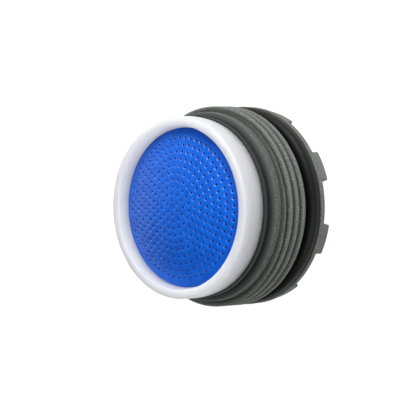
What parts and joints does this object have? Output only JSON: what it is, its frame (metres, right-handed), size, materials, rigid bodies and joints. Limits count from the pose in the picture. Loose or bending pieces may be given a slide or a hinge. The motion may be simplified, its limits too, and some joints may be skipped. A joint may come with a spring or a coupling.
{
  "type": "tap aerator",
  "caption": "Recessed tap aerator insert: perforated blue dome strainer in a white collar, grey threaded housing with a black O-ring, and a castellated outlet flange for a removal key.",
  "frame": {"origin": "centre of the plane of the key teeth's tips, at the outlet", "axes": "+Z along the aerator's axis from the outlet to the inlet dome; +X midway between two key teeth"},
  "size_m": [0.0214, 0.0214, 0.0136],
  "materials": {
    "dome_plastic": "satin moulded",
    "collar_plastic": "satin moulded",
    "inner_plastic": "satin moulded",
    "soft_ring": "matt",
    "housing_plastic": "rough moulded",
    "seal_rubber": "satin"
  },
  "bodies": {
    "root": {"strainer_dome": "dome_plastic", "regulator_core": "inner_plastic", "throttle_ring": "soft_ring", "jet_splitter": "inner_plastic", "cartridge_body": "collar_plastic", "lattice_upper": "inner_plastic", "lattice_lower": "inner_plastic", "outlet_honeycomb": "inner_plastic", "threaded_housing": "housing_plastic", "flange_o_ring": "seal_rubber"}
  },
  "joints": []
}
